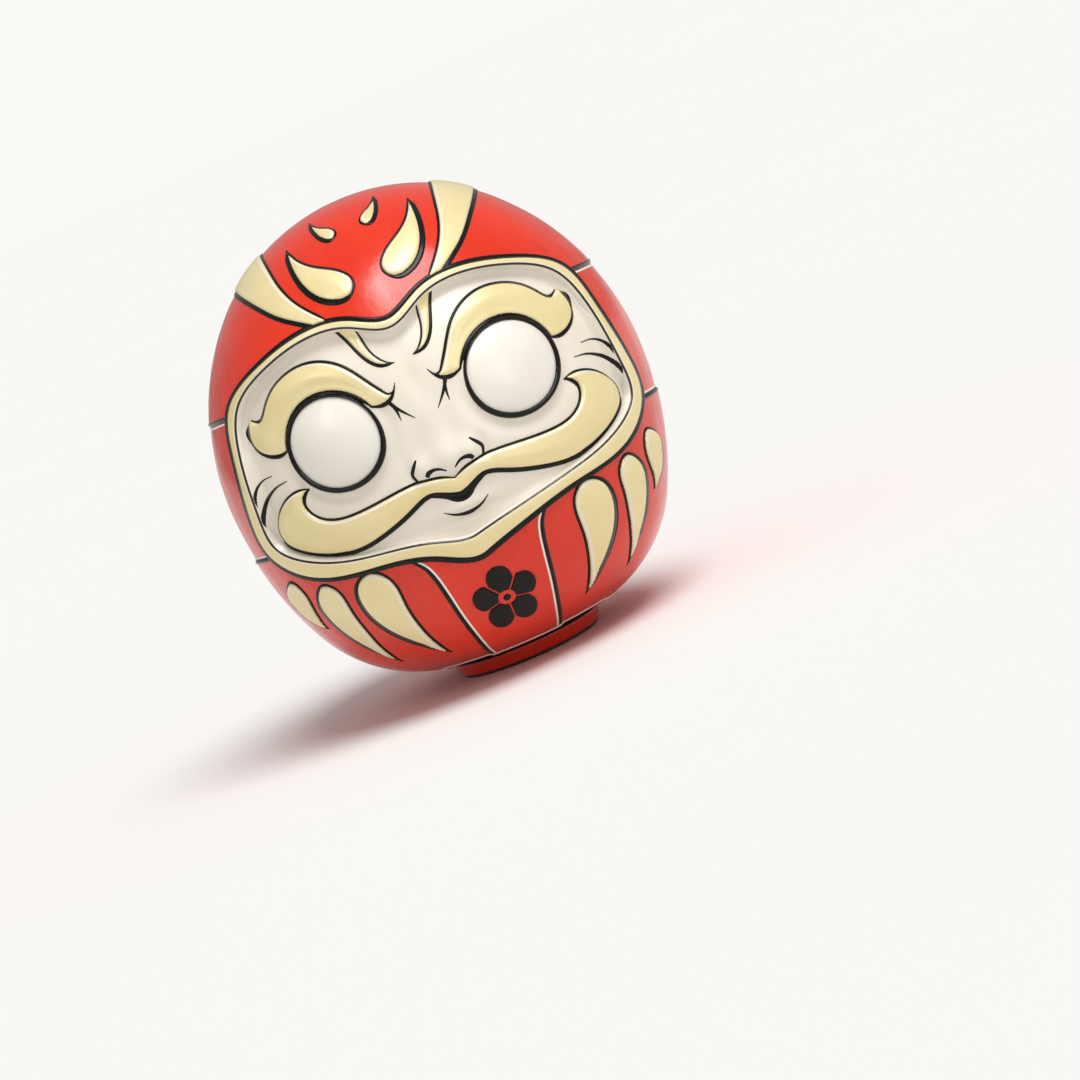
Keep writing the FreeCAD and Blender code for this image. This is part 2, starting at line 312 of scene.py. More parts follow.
rim_outer, rim_window = base_loops("face_rim", 0.0)[:2]
window = Outline(FRONT.flat(rim_window), 0.4)
rim_edge = Outline(FRONT.flat(rim_outer), 0.4)


def fillet(d):
    """0 on the open face to 1 at the rim."""
    inward = window.inside(FRONT.flat(d)) - RIM_LIP
    return np.clip(1 - inward / FILLET_REACH, 0, 1)


# ---- the two carved grounds: heights against the smooth body
PANEL_HEIGHTS = [4.0, 5.5, 10.6, 16.9, 22.4, 27.1, 31.6, 34.8, 40.0]
PANEL_HALF_WIDTHS = [8.0, 8.4, 9.7, 11.0, 11.9, 12.6, 13.7, 16.0, 18.5]  # the belly's middle panel
LINE_AZIMUTHS = [0, 60, 90, 130, 180]  # degrees round from the front
UPPER_LINE = [80.5, 79.2, 77.8, 75.2, 74.0]  # heights of the robe's side lines there
LOWER_LINE = [47.0, 46.0, 44.4, 42.0, 41.2]
SIDE_SINK, BELLY_SINK = 0.42, 0.38  # how low the side and the outer belly panels lie
RIPPLE, DENT = 0.08, 0.045  # half heights of the pressed paper's ripples and dents

MASK_DEPTH = 2.9  # how far under the body the face's forms are laid out
FACE_LEVEL = -2.85  # the height of the plain face
EYE_X, EYE_Z = 21.0, 65.8
SOCKET_RADIUS, SOCKET_SPREAD, SOCKET_DEPTH = 12.6, 1.7, 0.55
FACE_FORMS = (  # rise, middle x and z, spread in x and z
    (0.75, 0, 57, 30, 20),  # the whole face
    (0.75, 27, 52.5, 9, 7),  # cheeks
    (0.75, 0, 38.5, 12, 4.5),  # chin
    (0.55, 21, 79.5, 14, 5),  # brow ridges
    (0.35, 5.5, 72.5, 3.2, 4.5),  # frown
    (-0.35, 0, 72, 1.6, 6),  # the furrow in its middle
    (1.25, 0, 53.9, 3.9, 3.5),  # nose
    (1.15, 5.5, 53.2, 2.3, 2.7),  # nose wings
    (-0.55, 8.6, 53.0, 1.3, 3.4),  # creases beside them
    (0.80, 0, 42.6, 6.5, 1.5),  # lower lip
    (-0.40, 0, 40.2, 6.5, 1.0),  # the hollow under it
)
# The fillet's level at the rim: at chin and forehead, how much higher beside the cheeks, and
# beside the moustache.
FILLET_LEVEL, CHEEK_RISE, MOUSTACHE_LEVEL = -1.3, 1.16, -2.3


def robe_ground(d):
    base, _ = body_surface(d)
    x, y, z = base.T
    azimuth = np.degrees(np.arctan2(np.abs(x), -y))
    upper = np.interp(azimuth, LINE_AZIMUTHS, UPPER_LINE)
    lower = np.interp(azimuth, LINE_AZIMUTHS, LOWER_LINE)
    side = smooth(-0.5, 0.5, upper - z) * smooth(-0.5, 0.5, z - lower)
    past_panel = np.abs(x) - np.interp(z, PANEL_HEIGHTS, PANEL_HALF_WIDTHS)
    on_belly = (y < 0) * smooth(0.0, 2.6, lower - z) * smooth(62, 50, azimuth)
    ripple = (
        np.sin(0.11 * x + 1.3 * np.sin(0.07 * z) + 0.4)
        + np.sin(0.13 * y + 0.09 * z + 2.1)
        + np.sin(0.17 * z - 0.10 * x + 0.8)
    ) / 3
    dents = np.sin(0.41 * x + 0.33 * z + 1.1) * np.sin(0.37 * y - 0.29 * z + 0.6)
    dents = dents * np.sin(0.23 * x - 0.31 * y)
    sunk = SIDE_SINK * side + BELLY_SINK * smooth(-0.2, 1.3, past_panel) * on_belly
    return -sunk - RIPPLE * (1 + ripple) - DENT * (1 + dents)


def flat_robe(d):
    return np.zeros(len(d))


def face_ground(d):
    base, normal = body_surface(d)
    inner = base - MASK_DEPTH * normal
    x, z = np.abs(inner[:, 0]), inner[:, 2]
    h = np.full(len(d), FACE_LEVEL)
    for rise, *form in FACE_FORMS:
        h += rise * bump(x, z, *form)
    from_eye = np.hypot(x - EYE_X, z - EYE_Z)
    h -= SOCKET_DEPTH * np.exp(-(((from_eye - SOCKET_RADIUS) / SOCKET_SPREAD) ** 2))
    bridge = smooth(49.5, 52.5, z) * smooth(75, 60, z)
    h += 0.75 * np.exp(-((x / 2.7) ** 2)) * bridge
    level = FILLET_LEVEL + CHEEK_RISE * smooth(30, 39, x) * smooth(71, 66, z)
    beside_moustache = smooth(14, 24, x) * smooth(54.5, 49.5, z)
    level = level + (MOUSTACHE_LEVEL - level) * beside_moustache
    return h + (level - h) * fillet(d) ** 3


def place(d, ground, height):
    base, normal = body_surface(d)
    return base + (ground(d) + height)[:, None] * normal


# ---- meshes: closed pieces cut from a lattice along a field's zero line
ROW_PITCH = 0.866  # between the lattice's rows, in steps
SNAP = 0.38  # lattice points this near the border, in steps, are moved on to it
SMALLEST_ISLAND = 12  # triangles


def lattice(low, high, step):
    rows = int((high[1] - low[1]) / (step * ROW_PITCH)) + 2
    cols = int((high[0] - low[0]) / step) + 3
    j, i = np.meshgrid(np.arange(rows), np.arange(cols), indexing="ij")
    x = low[0] + (i - 0.5 + 0.5 * (j % 2)) * step
    y = low[1] + (j - 0.5) * step * ROW_PITCH
    a = (j[:-1, :-1] * cols + i[:-1, :-1]).ravel()
    odd = (j[:-1, :-1] % 2 == 1).ravel()
    b, c, e = a + 1, a + cols, a + cols + 1
    first = np.column_stack([a, b, np.where(odd, e, c)])
    second = np.column_stack([np.where(odd, a, b), e, c])
    return np.column_stack([x.ravel(), y.ravel()]), np.vstack([first, second])


def islands(faces):
    """The triangles in patches that are not mere crumbs, and the starts of the open edges."""
    parent = list(range(len(faces)))

    def root(k):
        while parent[k] != k:
            parent[k] = parent[parent[k]]
            k = parent[k]
        return k

    open_edges = {}
    for k, (a, b, c) in enumerate(faces.tolist()):
        for edge in ((a, b), (b, c), (c, a)):
            other = open_edges.pop(edge[::-1], None)
            if other is None:
                open_edges[edge] = k
            else:
                parent[root(k)] = root(other)
    island = np.array([root(k) for k in range(len(faces))])
    large = np.bincount(island)[island] >= SMALLEST_ISLAND
    if not large.all():
        return islands(faces[large])
    return faces, [start for start, _ in open_edges]


def fans(faces, point):
    """The runs of triangles round a point, each joined edge to edge, the shortest first."""
    following = {}
    for k in np.flatnonzero((faces == point).any(1)):
        turn = list(faces[k]).index(point)
        following[faces[k][(turn + 1) % 3]] = (faces[k][(turn + 2) % 3], k)
    ends = {end for end, _ in following.values()}
    runs = []
    for here in [start for start in following if start not in ends]:
        runs.append([])
        while here in following:
            here, k = following.pop(here)
            runs[-1].append(k)
    return sorted(runs, key=len)


def sound(faces):
    """The triangles without crumbs, and with no two patches that touch at a point only."""
    faces, starts = islands(faces)
    while len(starts) > len(set(starts)):
        for point in sorted(v for v, count in Counter(starts).items() if count > 1):
            extra = [k for run in fans(faces, point)[:-1] for k in run]
            faces = np.delete(faces, extra, axis=0)
        faces, starts = islands(faces)
    return faces


def level_patch(field, low, high, step):
    """Triangles of the region where field is positive, with its border set on the zero line."""
    points, tri = lattice(low, high, step)
    f = field(points)
    close = np.abs(f) < SNAP * step
    if close.any():
        p, eps = points[close], 0.02 * step
        slope_x = (field(p + [eps, 0]) - f[close]) / eps
        slope_y = (field(p + [0, eps]) - f[close]) / eps
        grad = np.column_stack([slope_x, slope_y])
        size = np.maximum((grad**2).sum(1), 0.05)
        points[close] = p - (f[close] / size)[:, None] * grad
        f[close] = 0.0
    sign = np.sign(f).astype(int)[tri]
    whole = (sign >= 0).all(1) & (sign.sum(1) > 0)
    on_line = (sign == 0).all(1)
    if on_line.any():
        inner = field(points[tri[on_line]].mean(1)) > 0
        whole[np.flatnonzero(on_line)[inner]] = True
    faces = [tuple(t) for t in tri[whole]]
    extra, made = [], {}

    def cut(a, b):
        key = (min(a, b), max(a, b))
        if key not in made:
            t = f[a] / (f[a] - f[b])
            made[key] = len(points) + len(extra)
            extra.append(points[a] + t * (points[b] - points[a]))
        return made[key]

    for t in tri[(sign > 0).any(1) & (sign < 0).any(1)].tolist():
        ring = []
        for a, b in zip(t, t[1:] + t[:1]):
            if f[a] >= 0:
                ring.append(a)
            if f[a] * f[b] < 0:
                ring.append(cut(a, b))
        for k in range(1, len(ring) - 1):
            faces.append((ring[0], ring[k], ring[k + 1]))
    if extra:
        points = np.vstack([points, extra])
    faces = sound(np.array(faces, np.int64).reshape(-1, 3))
    used, index = np.unique(faces, return_inverse=True)
    return points[used], index.reshape(-1, 3)


def add_object(name, data):
    made = bpy.data.objects.new(name, data)
    scene.collection.objects.link(made)
    return made


def make_object(name, points, faces, material, marks=None, sharp=50):
    """A smooth-shaded piece that rides on the body, with sharp edges past an angle in degrees."""
    mesh = bpy.data.meshes.new(name)
    mesh.from_pydata((points * MM).tolist(), [], faces)
    mesh.validate()
    for key, values in (marks or {}).items():
        attribute = mesh.attributes.new(key, "FLOAT", "POINT")
        attribute.data.foreach_set("value", np.asarray(values, np.float32))
    mesh.shade_smooth()
    mesh.set_sharp_from_angle(angle=math.radians(sharp))
    mesh.materials.append(material)
    piece = add_object(name, mesh)
    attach(piece, "root")
    return piece


def slab(name, chart, field, reach, step, ground, rise, depth, material, marks=None):
    """A closed piece where field is positive, within reach, the low and high corners of a chart.

    It lies on the ground: rise gives its top's height and depth its underside's, and each mark
    is a value painted on its points.
    """
    flat, tri = level_patch(field, *reach, step)
    d = chart.direction(flat)
    top = place(d, ground, rise(np.maximum(field(flat), 0)))
    under = place(d, ground, np.full(len(d), -depth))
    count = len(flat)
    faces = [tuple(t) for t in tri.tolist()]
    edges = {edge: True for a, b, c in faces for edge in ((a, b), (b, c), (c, a))}
    walls = [(b, a, a + count, b + count) for a, b in edges if (b, a) not in edges]
    faces = faces + [(a + count, c + count, b + count) for a, b, c in faces] + walls
    values = {key: np.tile(mark(flat), 2) for key, mark in (marks or {}).items()}
    return make_object(name, np.vstack([top, under]), faces, material, values)


def pillow(height, edge, crown=0.0, reach=4.0):
    """A rise with a rounded edge and a gentle crown further in."""

    def rise(f):
        t = np.clip(f / edge, 0, 1)
        return height * np.sqrt(1 - (1 - t) ** 2) + crown * smooth(0, reach, f)

    return rise


def span(outline, margin):
    return outline.points.min(0) - margin, outline.points.max(0) + margin


# ---- materials: lengths in them are in metres, as Blender's own are
def shader(name):
    material = bpy.data.materials.new(name)
    material.use_nodes = True
    tree = material.node_tree
    return material, tree, tree.nodes["Principled BSDF"]


def node(tree, kind, inputs=None, **settings):
    made = tree.nodes.new("ShaderNode" + kind)
    for key, value in settings.items():
        setattr(made, key, value)
    for key, value in (inputs or {}).items():
        if isinstance(value, bpy.types.NodeSocket):
            tree.links.new(value, made.inputs[key])
        else:
            made.inputs[key].default_value = value
    return made


def arithmetic(tree, operation, *values):
    return node(tree, "Math", dict(enumerate(values)), operation=operation).outputs[0]


def object_place(tree):
    return node(tree, "TexCoord").outputs["Object"]


def object_height(tree):
    return node(tree, "SeparateXYZ", {"Vector": object_place(tree)}).outputs["Z"]


def noise(tree, scale, detail=3.0, roughness=0.5, stretch=None):
    where = object_place(tree)
    if stretch:
        where = node(tree, "Mapping", {"Vector": where, "Scale": stretch}).outputs["Vector"]
    inputs = {"Vector": where, "Scale": scale, "Detail": detail, "Roughness": roughness}
    return node(tree, "TexNoise", inputs).outputs["Fac"]


def attribute(tree, name):
    return node(tree, "Attribute", attribute_name=name).outputs["Fac"]


def fit(tree, value, low, high, to_low, to_high):
    """The range low to high of a value, brought to the range to_low to to_high."""
    inputs = {"Value": value, "From Min": low, "From Max": high, "To Min": to_low, "To Max": to_high}
    return node(tree, "MapRange", inputs).outputs["Result"]


def mix(tree, factor, one, two):
    made = node(tree, "Mix", {"Factor": factor}, data_type="RGBA")
    for socket, value in ((made.inputs[6], one), (made.inputs[7], two)):
        if isinstance(value, bpy.types.NodeSocket):
            tree.links.new(value, socket)
        else:
            socket.default_value = (*value, 1)
    return made.outputs[2]


def bumps(tree, *layers):
    """Bump layers, each (height socket, strength, distance in metres), one on another."""
    normal = None
    for height, strength, depth in layers:
        inputs = {"Height": height, "Strength": strength, "Distance": depth}
        if normal is not None:
            inputs["Normal"] = normal
        normal = node(tree, "Bump", inputs).outputs["Normal"]
    return normal


def dress(tree, bsdf, **inputs):
    """Links or sets a shader's inputs, named with _ for a space."""
    for key, value in inputs.items():
        socket = bsdf.inputs[key.replace("_", " ")]
        if isinstance(value, bpy.types.NodeSocket):
            tree.links.new(value, socket)
        else:
            socket.default_value = value


def lacquer(name, colour, deep, coat, peel, gloss, rough=0.30):
    """Brushed-on lacquer: slight colour drift, specks, orange peel and a few brush drags."""
    material, tree, bsdf = shader(name)
    height = object_height(tree)
    above_foot = fit(tree, height, 0.010, 0.032, 0, 1)
    below_crown = fit(tree, height, 0.085, 0.105, 1, 0.2)
    steep = arithmetic(tree, "MULTIPLY", above_foot, below_crown)
    drags = arithmetic(tree, "MULTIPLY", steep, noise(tree, 330, 3, 0.55, (1, 1, 0.07)))
    tone = mix(tree, fit(tree, noise(tree, 38, 4), 0.32, 0.68, 0, 0.6), colour, deep)
    tone = mix(tree, fit(tree, drags, 0.42, 0.72, 0, 0.7), tone, deep)
    tone = mix(tree, fit(tree, noise(tree, 750, 2), 0.66, 0.74, 0, 0.5), tone, deep)
    normal = bumps(
        tree,
        (noise(tree, 220, 2), 0.22 * peel, 0.0006),
        (noise(tree, 1100, 2), 0.12 * peel, 0.0002),
        (drags, 0.18 * peel, 0.0005),
    )
    roughness = fit(tree, drags, 0.3, 0.7, rough * 0.75, rough * 1.3)
    dress(tree, bsdf, Base_Color=tone, Roughness=roughness, Normal=normal)
    dress(tree, bsdf, Specular_IOR_Level=gloss, Coat_Weight=coat, Coat_Roughness=0.16)
    return material


def gilt(name, lined=False):
    """Pale gold paint over paste: fine mica, brush streaks, and the lines painted on it, among them a
    painted highlight on the lit side and black edges widened as painted shadow.
    """
    material, tree, bsdf = shader(name)
    drift = fit(tree, noise(tree, 55, 4), 0.3, 0.7, 0, 1)
    tone = mix(tree, drift, (0.79, 0.645, 0.30), (0.85, 0.725, 0.39))
    mica = fit(tree, noise(tree, 5200, 1), 0.60, 0.75, 0, 0.5)
    tone = mix(tree, mica, tone, (0.95, 0.88, 0.62))
    # Painted highlight: ivory along the gold's edge on the lit side, where the highlight width is above
    # zero.
    offset = arithmetic(tree, "ABSOLUTE", attribute(tree, "highlight_line"))
    inside = arithmetic(tree, "SUBTRACT", attribute(tree, "highlight_width"), offset)
    tone = mix(tree, fit(tree, inside, -0.03, 0.05, 0, 1), tone, IVORY)
    if lined:
        inward = attribute(tree, "inner_line")
        tone = mix(tree, fit(tree, inward, 0.36, 0.41, 1, 0), tone, BLACK)
        tone = mix(tree, fit(tree, inward, 0.01, 0.05, 1, 0), tone, IVORY)
    # The black edge from the dark_line mark: an outline, wider on the reliefs' shadow side as painted
    # shadow.
    tone = mix(tree, fit(tree, attribute(tree, "dark_line"), -0.03, 0.03, 1, 0), tone, BLACK)
    streaks = noise(tree, 420, 4, 0.6, (1, 1, 0.25))
    normal = bumps(tree, (streaks, 0.12, 0.0003), (noise(tree, 160, 3), 0.18, 0.0008))
    roughness = fit(tree, streaks, 0.3, 0.7, 0.30, 0.46)
    dress(tree, bsdf, Base_Color=tone, Roughness=roughness, Normal=normal)
    dress(tree, bsdf, Metallic=0.12, Coat_Weight=0.35, Coat_Roughness=0.14)
    return material


def gofun(name, colour, shade, rough=0.42):
    """White shell paint: faint mottle, fine pits and brush marks."""
    material, tree, bsdf = shader(name)
    tone = mix(tree, fit(tree, noise(tree, 45, 4), 0.3, 0.7, 0, 1), colour, shade)
    roughness = fit(tree, noise(tree, 120, 3), 0.3, 0.7, rough * 0.85, rough * 1.15)
    strokes = noise(tree, 180, 4, 0.6, (0.3, 1, 1))
    normal = bumps(tree, (strokes, 0.08, 0.0006), (noise(tree, 1300, 2), 0.06, 0.0002))
    dress(tree, bsdf, Base_Color=tone, Roughness=roughness, Normal=normal)
    dress(tree, bsdf, Coat_Weight=0.25, Coat_Roughness=0.2)
    return material


def paper(name, colour, dark, fibre=500):
    """Matt matter with long fibres or cracks and a slow mottle."""
    material, tree, bsdf = shader(name)
    fibres = noise(tree, fibre, 6, 0.7, (1, 0.18, 1))
    tone = mix(tree, fit(tree, fibres, 0.35, 0.65, 0, 1), dark, colour)
    tone = mix(tree, fit(tree, noise(tree, 60, 4), 0.5, 0.75, 0, 0.5), tone, dark)
    normal = bumps(tree, (fibres, 0.4, 0.0004))
    dress(tree, bsdf, Base_Color=tone, Normal=normal, Roughness=0.85)
    return material


def lacquered_wood(name):
    """The foot's turned wood: red lacquer, worn to the grain at the floor."""
    material, tree, bsdf = shader(name)
    low = fit(tree, object_height(tree), 0.0007, 0.0011, 0.35, 0)
    patches = fit(tree, noise(tree, 240, 5, 0.7), 0.45, 0.6, 0, 1)
    wear = arithmetic(tree, "MULTIPLY", low, patches)
    grain = noise(tree, 300, 5, 0.6, (1, 1, 8))
    bare = mix(tree, grain, (0.30, 0.12, 0.05), (0.42, 0.20, 0.09))
    paint = mix(tree, fit(tree, noise(tree, 40, 4), 0.3, 0.7, 0, 1), RED, DEEP_RED)
    normal = bumps(tree, (grain, 0.10, 0.0003), (noise(tree, 260, 2), 0.08, 0.0006))
    roughness = fit(tree, wear, 0, 1, 0.3, 0.6)
    dress(tree, bsdf, Base_Color=mix(tree, wear, paint, bare), Roughness=roughness, Normal=normal)
    dress(tree, bsdf, Coat_Weight=0.4, Coat_Roughness=0.12)
    return material


RED, DEEP_RED = (0.78, 0.034, 0.008), (0.58, 0.017, 0.004)
IVORY, IVORY_SHADE = (0.83, 0.76, 0.655), (0.77, 0.69, 0.575)
BLACK, SOFT_BLACK = (0.004, 0.0037, 0.0034), (0.009, 0.008, 0.007)
red = lacquer("robe_lacquer", RED, DEEP_RED, coat=0.35, peel=1.0, gloss=0.28)
black = lacquer("black_lacquer", BLACK, SOFT_BLACK, coat=0.15, peel=0.6, gloss=0.15)
gold = gilt("pale_gold")
rim_gold = gilt("rim_gold", lined=True)
ivory = gofun("ivory_gofun", IVORY, IVORY_SHADE)
eye_white = gofun("eye_white", (0.83, 0.785, 0.71), (0.79, 0.735, 0.65), 0.30)
# Ivory paint for the painted highlight lines beside the black lines.
ivory_highlight_paint = gofun("ivory_highlight_paint", (0.90, 0.86, 0.78), (0.84, 0.78, 0.68), 0.35)
dark_paper = paper("base_paper", (0.055, 0.045, 0.038), (0.03, 0.025, 0.022))
raw_paper = paper("raw_paper", (0.50, 0.44, 0.34), (0.38, 0.32, 0.24), 300)
clay = paper("dried_clay", (0.36, 0.20, 0.12), (0.25, 0.13, 0.075), 200)
foot_wood = lacquered_wood("foot_lacquer")


# ---- gilded reliefs with a painted outline
FALL_STEP = 0.0144  # the shift, outward and down, of the direction that the fall of the painted shadows is measured to
HIGHLIGHT_INSET, HIGHLIGHT_WIDTH = 0.62, 0.26  # the painted highlight, an ivory line on the lit side: its middle inside the outline, half width
OUTLINE_HEIGHT, OUTLINE_EDGE, OUTLINE_DEPTH = 0.24, 0.3, 0.2
OUTLINE_OVERLAP = 0.3  # how much of an outline lies under its relief
RELIEF_DEPTH = 0.35
OUTLINE_STEP = 0.26


def fall_direction(chart, name):
    """The direction in a chart that the drawn shadows fall: outward and down."""
    side = {"left": 1, "right": -1}.get(name.split("_")[0], 0)
    step = FALL_STEP * np.array([side, 0, -1])
    here, _ = body_surface(chart.w[None])
    there, _ = body_surface(unit(chart.w + step)[None])
    fall = chart.flat(unit(there - CENTRE))[0] - chart.flat(unit(here - CENTRE))[0]
    return fall / max(np.linalg.norm(fall), 1e-9)


def turned_away(chart, p, away):
    """How far the directions away, in a chart, lead off to the back of the doll: 0 to 1."""
    here, _ = body_surface(chart.direction(p))
    there, _ = body_surface(chart.direction(p + 0.1 * away))
    return np.maximum((there - here)[:, 1] / 0.1, 0)


def stroke_field(gap, width, overlap):
    """Positive on a line that runs from overlap inside an outline to its width outside."""
    return 0.5 * (width + overlap) - np.abs(gap - 0.5 * (overlap - width))


def beside_rim(outline, chart):
    """An outline's gap, cut short where the rim would cover the piece."""

    def gap(p):
        own, away = outline.gap(p)
        to_rim, rim_away = window.gap(FRONT.flat(chart.direction(p)))
        to_rim = to_rim - RIM_LIP - RIM_CLEARANCE
        nearer = to_rim < own
        rounding = 0.4 * np.clip(1 - np.abs(own - to_rim) / 1.6, 0, 1) ** 2
        away = np.where(nearer[:, None], rim_away, away)
        return np.where(nearer, to_rim, own) - rounding, away

    return gap


def relief(name, ground, height, edge, crown, step, thin, thick, clear_of_rim=False):
    """A raised piece on a node's outline, with a painted outline from thin to thick: thick on the side where
    the drawn shadows fall, as a painted shadow.
    """
    loop = base_loops(name)[0]
    chart = Chart(loop.mean(0))
    outline = Outline(chart.flat(loop))
    reach = span(outline, 3)
    fall = fall_direction(chart, name)
    gap_at = beside_rim(outline, chart) if clear_of_rim else outline.gap

    def inside(p):
        return gap_at(p)[0]

    def dark_line(p):
        gap, away = gap_at(p)
        # Painted shadow: the black edge on the gold is wider on the side where the drawn shadows fall.
        width = 0.14 + 0.12 * smooth(-0.2, 0.8, away @ fall)
        return gap - width - 2.0 * turned_away(chart, p, away) ** 1.4

    # Painted highlight: an ivory line inside the gold, painted only on the lit side, away from where the
    # drawn shadows fall.
    def highlight_line(p):
        return inside(p) - HIGHLIGHT_INSET

    def highlight_width(p):
        lit = smooth(-0.05, 0.6, -(gap_at(p)[1] @ fall))
        return HIGHLIGHT_WIDTH * lit * outline.clear(p)

    def painted_outline(p):
        gap, away = gap_at(p)
        # Painted shadow: the outline is thick where the drawn shadows fall and thin on the lit side.
        width = thin + (thick - thin) * smooth(-0.4, 0.85, away @ fall)
        width = width * (0.3 + 0.7 * outline.clear(p)) * (1 - 0.4 * turned_away(chart, p, away))
        return stroke_field(gap, width, OUTLINE_OVERLAP)

    marks = {"dark_line": dark_line, "highlight_line": highlight_line, "highlight_width": highlight_width}
    rise = pillow(height, edge, crown)
    body = slab(name + "_relief", chart, inside, reach, step, ground, rise, RELIEF_DEPTH, gold, marks)
    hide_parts(name)
    slab(
        name + "_outline", chart, painted_outline, reach, OUTLINE_STEP, ground,
        pillow(OUTLINE_HEIGHT, OUTLINE_EDGE), OUTLINE_DEPTH, black,
    )


# ---- brush lines
# A low rounded line's strands: where each lies across its width, and its share of the height.
STRANDS = (
    (-0.5, 0.0), (-0.36, 0.62), (-0.18, 0.93), (0, 1.0), (0.18, 0.93), (0.36, 0.62), (0.5, 0.0),
)
LINE_HEIGHT = 0.24
HIGHEST = 0.35  # a line's height is no more than this share of its width
LINE_DEPTH = 0.2


def curve(points, spacing=0.35):
    """A smooth run through given rows of numbers, at even steps."""
    p = np.asarray(points, float)
    ends = np.vstack([2 * p[0] - p[1], p, 2 * p[-1] - p[-2]])
    out = []
    for k in range(1, len(ends) - 2):
        p0, p1, p2, p3 = ends[k - 1 : k + 3]
        count = max(int(np.linalg.norm((p2 - p1)[:2]) / spacing), 2)
        t = np.linspace(0, 1, count, endpoint=False)[:, None]
        bend = (2 * p0 - 5 * p1 + 4 * p2 - p3) * t**2 + (3 * p1 - p0 - 3 * p2 + p3) * t**3
        out.append(0.5 * (2 * p1 + (p2 - p0) * t + bend))
    return np.vstack(out + [p[-1:]])


def from_front(rows, ground):
    """Directions of points given as x and z in the front view, on a ground."""
    start_y = np.full(len(rows), -45.0)
    d = unit(np.column_stack([rows[:, 0], start_y, rows[:, 1] - CENTRE[2]]))
    for _ in range(80):
        base, normal = body_surface(d)
        rise = ground(d)[:, None] * normal
        seen = np.column_stack([rows[:, 0], (base + rise)[:, 1], rows[:, 1]])
        d = unit(0.75 * d + 0.25 * unit(seen - rise - CENTRE))
    return d


def ribbon(name, ground, strands, widths, material, height=LINE_HEIGHT):
    """A low rounded line from its strands, each a row of directions along it."""
    rows = []
    for d, (_, share) in zip(strands, STRANDS):
        rows.append(place(d, ground, np.minimum(height, widths * HIGHEST) * share))
    for d in strands[::-1]:
        rows.append(place(d, ground, np.full(len(d), -LINE_DEPTH)))
    ring = len(rows)
    last = (len(widths) - 1) * ring
    faces = []
    for a in range(0, last, ring):
        for j in range(ring):
            b = (j + 1) % ring
            faces.append((a + j, a + b, a + b + ring, a + j + ring))
    faces.append(tuple(range(ring))[::-1])
    faces.append(tuple(range(last, last + ring)))
    points = np.stack(rows, 1).reshape(-1, 3)
    return make_object(name, points, faces, material, sharp=60)


def brush(name, ground, rows, material, height=LINE_HEIGHT):
    """A brush line through front-view rows of x, z and width, on the ground."""
    path = curve(rows)
    middle, widths = path[:, :2], path[:, 2]
    along = unit(np.gradient(middle, axis=0))
    across = np.column_stack([along[:, 1], -along[:, 0]])
    seen = [middle + across * (share * widths)[:, None] for share, _ in STRANDS]
    strands = from_front(np.vstack(seen), ground).reshape(len(STRANDS), -1, 3)
    return ribbon(name, ground, strands, widths, material, height)


def round_body(name, azimuth, z, width, material, height=LINE_HEIGHT):
    """A line round the robe through azimuths from the front, in radians, and heights."""
    outward = np.column_stack([np.sin(azimuth), -np.cos(azimuth)])
    d = np.column_stack([outward, np.zeros(len(azimuth))])
    for _ in range(20):
        base, normal = body_surface(unit(d))
        radius = np.hypot(base[:, 0], base[:, 1])
        d = np.column_stack([outward * radius[:, None], z - CENTRE[2]])
    across = np.cross(unit(np.gradient(base, axis=0)), normal)
    strands = [unit(base + across * share * width - CENTRE) for share, _ in STRANDS]
    widths = np.full(len(azimuth), width)
    return ribbon(name, robe_ground, strands, widths, material, height)


def mirrored(rows):
    return [(-x, *rest) for x, *rest in rows]


def both_halves(rows):
    """A line's rows on both sides, from rows that start in the middle."""
    return mirrored(rows[:0:-1]) + rows


SIDES = (("left_", list), ("right_", mirrored))


# ---- the shells
SEAM_GAP = 0.04  # half of the fine gap between the two shells
SHELL_DEPTH = 2.6
SHELL_STEP = 0.8


def rounded_edge(f):
    return -0.22 * np.sqrt(np.clip(1 - np.clip(f / 0.7, 0, 1), 0, 1))


def back_field(p):
    return QUARTER - SEAM_GAP - np.linalg.norm(p, axis=1)


def front_field(p):
    out = back_field(p)
    near = np.linalg.norm(p, axis=1) < 62
    out[near] = np.minimum(out[near], -window.inside(p[near]))
    return out


corner = np.full(2, QUARTER + 2)
for side, chart, field in (("front", FRONT, front_field), ("back", BACK, back_field)):
    shell = slab(
        side + "_robe_shell", chart, field, (-corner, corner), SHELL_STEP, robe_ground,
        rounded_edge, SHELL_DEPTH, red,
    )
    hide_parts(side + "_shell")


# ---- the face
MASK_MARGIN, MASK_THICKNESS = 1.6, 1.6  # the margin is how far it runs on past the window


def mask_field(p):
    return window.inside(p) + MASK_MARGIN


def no_rise(f):
    return np.zeros(len(f))


face = slab(
    "carved_face", FRONT, mask_field, span(window, 4), 0.42, face_ground,
    no_rise, MASK_THICKNESS, ivory,
)
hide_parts("face_mask", "nose")


RIM_HIGHLIGHT_INSET, RIM_HIGHLIGHT_WIDTH = 0.58, 0.12  # the rim's painted highlight, an ivory stripe: from the lip, and half width


def from_lip(p):
    """Distance outward from the rim's inner lip."""
    return RIM_LIP - window.inside(p)


def rim_field(p):
    return np.minimum(rim_edge.inside(p), from_lip(p))


def rim_dark_line(p):
    gap, away = rim_edge.gap(p)
    return gap - 0.12 - 1.5 * turned_away(FRONT, p, away) ** 1.2


# Painted highlight: an ivory stripe along the rim, at the same width all round.
def rim_highlight_line(p):
    return from_lip(p) - RIM_HIGHLIGHT_INSET


def rim_highlight_width(p):
    return np.full(len(p), RIM_HIGHLIGHT_WIDTH)


